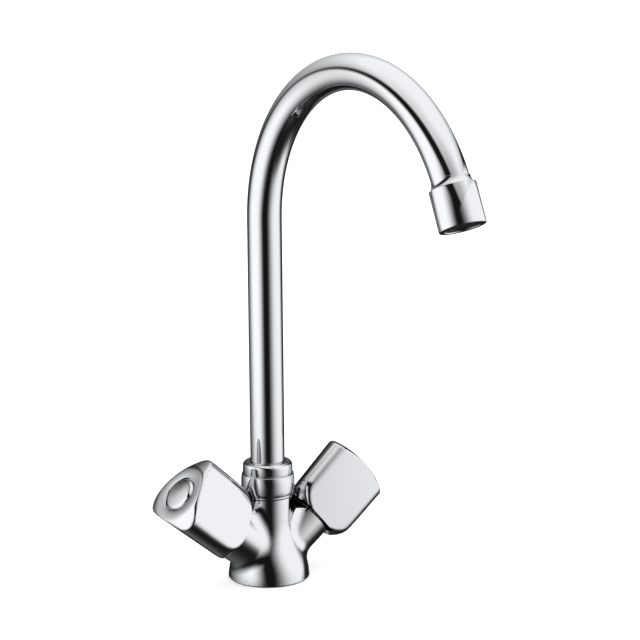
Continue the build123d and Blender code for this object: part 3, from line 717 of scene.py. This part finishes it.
# %% The collar and the aerator's sleeve, in millimetres along the flow
pipe_end = Vector((0, -BEND_RADIUS * (1 - cos(BEND_SWEEP)),
                   BEND_HEIGHT + BEND_RADIUS * sin(BEND_SWEEP)))
along_flow = Matrix.Translation(pipe_end) @ Matrix.Rotation(BEND_SWEEP, 4, "X")
COLLAR_LIP = -5.5
COLLAR_LIP_RADIUS = 10.3
COLLAR_SHOULDER = -1.4
COLLAR_SHOULDER_RADIUS = 11.3
THREAD_RADIUS = 10.95
THREAD_END = 8
COLLAR_BORE = 8.8
PIPE_SOCKET = 10.1
PIPE_STOP = 0.1
COLLAR_CORNER = 0.08
flare_run = COLLAR_SHOULDER - COLLAR_LIP
flare_rise = COLLAR_SHOULDER_RADIUS - COLLAR_LIP_RADIUS
flare_radius = (flare_run ** 2 + flare_rise ** 2) / (2 * flare_rise)
flare_turn = degrees(asin(flare_run / flare_radius))
collar_outline = [
    *arc((COLLAR_LIP_RADIUS + flare_radius, COLLAR_LIP), flare_radius, 180, 180 - flare_turn),
    (THREAD_RADIUS, COLLAR_SHOULDER),
    (THREAD_RADIUS, THREAD_END),
    (COLLAR_BORE, THREAD_END),
    (COLLAR_BORE, PIPE_STOP),
    (PIPE_SOCKET, PIPE_STOP),
    (PIPE_SOCKET, COLLAR_LIP),
]
collar_shape = turned(collar_outline, COLLAR_CORNER, along_flow)
new_piece("outlet_collar", collar_shape, turned_chrome, "spout", "outlet_socket")

SLEEVE_RADIUS = 12.45
SLEEVE_TOP = -1.3
SLEEVE_BOTTOM = 20.5
SLEEVE_WALL = 1.3
SLEEVE_CORNER = 0.45
THREAD_GAP = 0.05
LIP_BORE = 9.7
LIP_HEIGHT = 1.9
sleeve_outline = [
    (THREAD_RADIUS + THREAD_GAP, SLEEVE_TOP),
    (SLEEVE_RADIUS, SLEEVE_TOP),
    (SLEEVE_RADIUS, SLEEVE_BOTTOM),
    (LIP_BORE, SLEEVE_BOTTOM),
    (LIP_BORE, SLEEVE_BOTTOM - LIP_HEIGHT),
    (SLEEVE_RADIUS - SLEEVE_WALL, SLEEVE_BOTTOM - LIP_HEIGHT),
    (SLEEVE_RADIUS - SLEEVE_WALL, THREAD_END),
    (THREAD_RADIUS + THREAD_GAP, THREAD_END),
]
sleeve_shape = turned(sleeve_outline, SLEEVE_CORNER, along_flow)
new_piece("aerator_sleeve", sleeve_shape, turned_chrome, "spout", "aerator_shell")

# %% [markdown]
# ## The handles
#
# Each handle is a hollow casting with three soft lobes, so that a wet hand can turn it. It could
# be cut from a lobed bar with booleans, but those leave ragged edges that show in a mirror. Here
# a round knob is turned first, and then every vertex that stands outside the three-lobed outline
# is drawn in to it. The two shapes are blended over a couple of millimetres, which gives the
# rounded rim of a buffed casting.

# %% The three-lobed outline, in millimetres
ARM_HEIGHT = 9.7            # where the arms' axes meet
HANDLE_START = 36.4         # along the arm, 0.4 clear of its mouth
HANDLE_END = 78.9
LOBE_TIP = 25.8
LOBE_RADIUS = 7.6
SIDE_MIDDLE = 17.4
HANDLE_DRAFT = 1.0          # how much narrower the outline is at the skirt
SKIRT_BLEND = 1.6
CROWN_BLEND = 3.2           # the rim of the outer end is rounder than the skirt's


def lobed_limit(angle, shrink):
    """Distance from the axis to the outline, at an angle from a lobe's tip.

    Each lobe is a small arc, and each side a large one that meets two lobes smoothly.
    """
    reach = LOBE_TIP - LOBE_RADIUS
    lobe = LOBE_RADIUS - shrink
    middle = SIDE_MIDDLE - shrink
    gap = reach / 2 - middle
    half_span = reach * sin(pi / 3)
    side_radius = -(half_span ** 2 + gap ** 2 - lobe ** 2) / (2 * (gap + lobe))
    back = side_radius - middle
    lean = atan2(half_span, back + reach / 2)
    join = atan2(side_radius * sin(lean), side_radius * cos(lean) - back)
    off_lobe = abs((angle + pi / 3) % (2 * pi / 3) - pi / 3)
    off_side = pi / 3 - off_lobe
    if off_side < join:
        return sqrt(side_radius ** 2 - (back * sin(off_side)) ** 2) - back * cos(off_side)
    return reach * cos(off_lobe) + sqrt(lobe ** 2 - (reach * sin(off_lobe)) ** 2)


def soft_smaller(first, second, blend):
    """The smaller of two lengths, blended where they are nearly the same."""
    overlap = max(blend - abs(first - second), 0)
    return min(first, second) - overlap ** 2 / (4 * blend)


print("outline at a lobe and at a side:", lobed_limit(0, 0), lobed_limit(pi / 3, 0))

# %% [markdown]
# The knob is drawn as a turner would: a skirt that rounds in to its mouth, a body that is wider
# than any lobe, and an outer end that is flat in the middle, rounds over and falls away as a
# cone. A well for the button lies in it.

# %% The turned knob, in millimetres along the arm
KNOB_RADIUS = 32            # before the outline is pressed into it
SKIRT_MOUTH = 19.2
SKIRT_ROUND = 17.0
CROWN_FLAT = 16.0
CROWN_ROUND = 9.5
CROWN_SLOPE = 23
CROWN_STEPS = 40
BODY_ROWS = 6
ROW_HEIGHT = 3
WELL_RADIUS = 10.9
WELL_EDGE = 0.5
WELL_DEPTH = 3
WELL_FLOOR = HANDLE_END - WELL_DEPTH
SCREW_WELL = 4.3

skirt_start = -degrees(acos((SKIRT_MOUTH - LOBE_TIP + SKIRT_ROUND) / SKIRT_ROUND))
skirt_centre = (LOBE_TIP - SKIRT_ROUND,
                HANDLE_START - SKIRT_ROUND * sin(radians(skirt_start)))
crown_corner = (CROWN_FLAT + CROWN_ROUND * sin(radians(CROWN_SLOPE)),
                HANDLE_END - CROWN_ROUND * (1 - cos(radians(CROWN_SLOPE))))
crown_run = (KNOB_RADIUS - crown_corner[0]) / CROWN_STEPS
crown_fall = crown_run * tan(radians(CROWN_SLOPE))
knob_outline = [
    *arc(skirt_centre, SKIRT_ROUND, skirt_start, 0, steps=20),
    *[(KNOB_RADIUS, skirt_centre[1] + ROW_HEIGHT * row) for row in range(1, BODY_ROWS + 1)],
    *[(KNOB_RADIUS - crown_run * step, crown_corner[1] - crown_fall * (CROWN_STEPS - step))
      for step in range(CROWN_STEPS)],
    *arc((CROWN_FLAT, HANDLE_END - CROWN_ROUND), CROWN_ROUND, 90 - CROWN_SLOPE, 90, steps=6),
    *arc((WELL_RADIUS + WELL_EDGE, HANDLE_END - WELL_EDGE), WELL_EDGE, 90, 180, steps=4),
    (WELL_RADIUS, WELL_FLOOR),
    (SCREW_WELL, WELL_FLOOR),
]
print("the knob's outline has", len(knob_outline), "points")

# %% [markdown]
# The casting is hollow, with a hub in the middle that takes the splined insert, and a hole for
# the screw. The hollow has an outline of its own, a wall's thickness inside the first. A Solidify
# modifier would be quicker, but on a shape with such tight corners it throws out spikes.

# %% The hollow, in millimetres along the arm
HANDLE_WALL = 2.1
HUB_RADIUS = 8.7
HUB_BORE = 7.0
HUB_END = 54.0
INSERT_TOP = 63.0
HUB_SEAT = 66.5             # where the screw bears
SCREW_HOLE = 2.5
HANDLE_ROOF = 7             # thickness of the outer end
CAVITY_TOP = HANDLE_END - HANDLE_ROOF
cavity_outline = [
    *arc(skirt_centre, SKIRT_ROUND - HANDLE_WALL, skirt_start, 0),
    (KNOB_RADIUS, skirt_centre[1] + ROW_HEIGHT),
    (KNOB_RADIUS, CAVITY_TOP),
    (HUB_RADIUS, CAVITY_TOP),
    (HUB_RADIUS, HUB_END),
    (HUB_BORE, HUB_END),
    (HUB_BORE, INSERT_TOP),
    (SCREW_HOLE, INSERT_TOP),
    (SCREW_HOLE, HUB_SEAT),
    (SCREW_WELL, HUB_SEAT),
]
print("the hollow ends", HANDLE_END - CAVITY_TOP, "mm under the outer end")

# %% [markdown]
# Pressing the lobes in is a job for a small function, because both outlines need it. It spins the
# outline, then draws each vertex in along its radius. The handles narrow a little to the skirt,
# as every casting does to leave its mould, so the lobes shrink on the way.

# %% Spin and press
HANDLE_STEPS = 288
HANDLE_MIDDLE = 64.0        # above it the crown's blend holds, below it the skirt's


def press_lobes(shape, outline, inset):
    """Spin an open outline of (radius, height) points and draw it in to the lobes, less an inset.

    It gives back the new faces.
    """
    points = [shape.verts.new((radius * MM, 0, height * MM)) for radius, height in outline]
    chain = [shape.edges.new(pair) for pair in zip(points, points[1:])]
    older = set(shape.verts) - set(points)
    older_faces = set(shape.faces)
    bmesh.ops.spin(shape, geom=points + chain, cent=(0, 0, 0), axis=(0, 0, 1),
                   angle=2 * pi, steps=HANDLE_STEPS, use_merge=True)
    for vert in set(shape.verts) - older:
        radius = vert.co.xy.length / MM
        below_end = (HANDLE_END - vert.co.z / MM) / (HANDLE_END - HANDLE_START)
        shrink = inset + HANDLE_DRAFT * below_end
        limit = lobed_limit(atan2(vert.co.y, vert.co.x), shrink)
        blend = CROWN_BLEND if vert.co.z > HANDLE_MIDDLE * MM else SKIRT_BLEND
        vert.co.xy *= soft_smaller(radius, limit, blend) / radius
    return set(shape.faces) - older_faces


print("steps round a handle:", HANDLE_STEPS)

# %% [markdown]
# The two shells are joined at the skirt's mouth and at the screw's hole, and the finished casting
# is turned to its arm. The photograph shows how far each handle is turned: on both, one lobe
# points up and in, towards the column, and the right handle's leans to the front as well.

# %% The handles
# How far a lobe is turned from the front, seen from outside.
LOBE_TURN = {"hot": radians(84), "cold": radians(-65)}
# Heights between which both rims of an opening lie.
MOUTH_ZONE = (HANDLE_START - 1, HANDLE_START + 5)
SCREW_ZONE = (HUB_SEAT - 1, HANDLE_END)
INSIDE_SLOT = 1             # the casting's second material

for arm, side in (("hot", -1), ("cold", 1)):
    handle = bmesh.new()
    press_lobes(handle, knob_outline, 0)
    for face in press_lobes(handle, cavity_outline, HANDLE_WALL):
        face.material_index = INSIDE_SLOT
    open_edges = [edge for edge in handle.edges if edge.is_boundary]
    for low, high in (MOUTH_ZONE, SCREW_ZONE):
        rims = [edge for edge in open_edges if low * MM < edge.verts[0].co.z < high * MM]
        bmesh.ops.bridge_loops(handle, edges=rims)
    bmesh.ops.remove_doubles(handle, verts=handle.verts, dist=WELD)
    bmesh.ops.recalc_face_normals(handle, faces=handle.faces)
    print("open edges left:", sum(edge.is_boundary for edge in handle.edges))
    outward = Vector((side * cos(ARM_TILT), 0, sin(ARM_TILT)))
    front = Vector((0, -1, 0))
    lean_out = Matrix((front, outward.cross(front), outward)).transposed().to_4x4()
    to_arm = (Matrix.Translation((0, 0, ARM_HEIGHT * MM)) @ lean_out
              @ Matrix.Rotation(LOBE_TURN[arm], 4, "Z"))
    bmesh.ops.transform(handle, matrix=to_arm, verts=handle.verts)
    casting = new_piece(f"{arm}_handle_casting", handle, buffed_chrome, f"{arm}_handle",
                        f"{arm}_handle_shell", crease=50)
    # the inside gets dull zinc painted dark, as painted shade in the gap under the skirt
    casting.data.materials.append(dull_zinc_painted_as_shade)

# %% [markdown]
# ## The buttons
#
# A round button snaps into the end of each handle and hides its screw. Its face is very slightly
# domed: on a mirror even half a millimetre shows, because the room's reflection closes in round
# the edge.

# %% The buttons, in millimetres along the arm
BUTTON_RADIUS = 10.1
BUTTON_RISE = 1.5
BUTTON_DOME = 55
BUTTON_EDGE = 2.4
BUTTON_CORNER = 0.1
PEG_RADIUS = 9              # a ring under the button holds it in the well
PEG_BORE = 8
PEG_LENGTH = 2.2
dome_turn = degrees(asin((BUTTON_RADIUS - BUTTON_EDGE) / (BUTTON_DOME - BUTTON_EDGE)))
button_top = HANDLE_END + BUTTON_RISE
dome_centre = (0, button_top - BUTTON_DOME)
edge_centre = (BUTTON_RADIUS - BUTTON_EDGE,
               dome_centre[1] + (BUTTON_DOME - BUTTON_EDGE) * cos(radians(dome_turn)))
button_outline = [
    *arc(dome_centre, BUTTON_DOME, 90, 90 - dome_turn)[:-1],
    *arc(edge_centre, BUTTON_EDGE, 90 - dome_turn, 0),
    (BUTTON_RADIUS, WELL_FLOOR),
    (PEG_RADIUS, WELL_FLOOR),
    (PEG_RADIUS, WELL_FLOOR - PEG_LENGTH),
    (PEG_BORE, WELL_FLOOR - PEG_LENGTH),
    (PEG_BORE, WELL_FLOOR),
    (0, WELL_FLOOR),
]
for arm, side in (("hot", -1), ("cold", 1)):
    lean = side * (pi / 2 - ARM_TILT)
    along_arm = Matrix.Translation((0, 0, ARM_HEIGHT * MM)) @ Matrix.Rotation(lean, 4, "Y")
    button_shape = turned(button_outline, BUTTON_CORNER, along_arm)
    new_piece(f"{arm}_button", button_shape, turned_chrome, f"{arm}_handle",
              f"{arm}_handle_button")
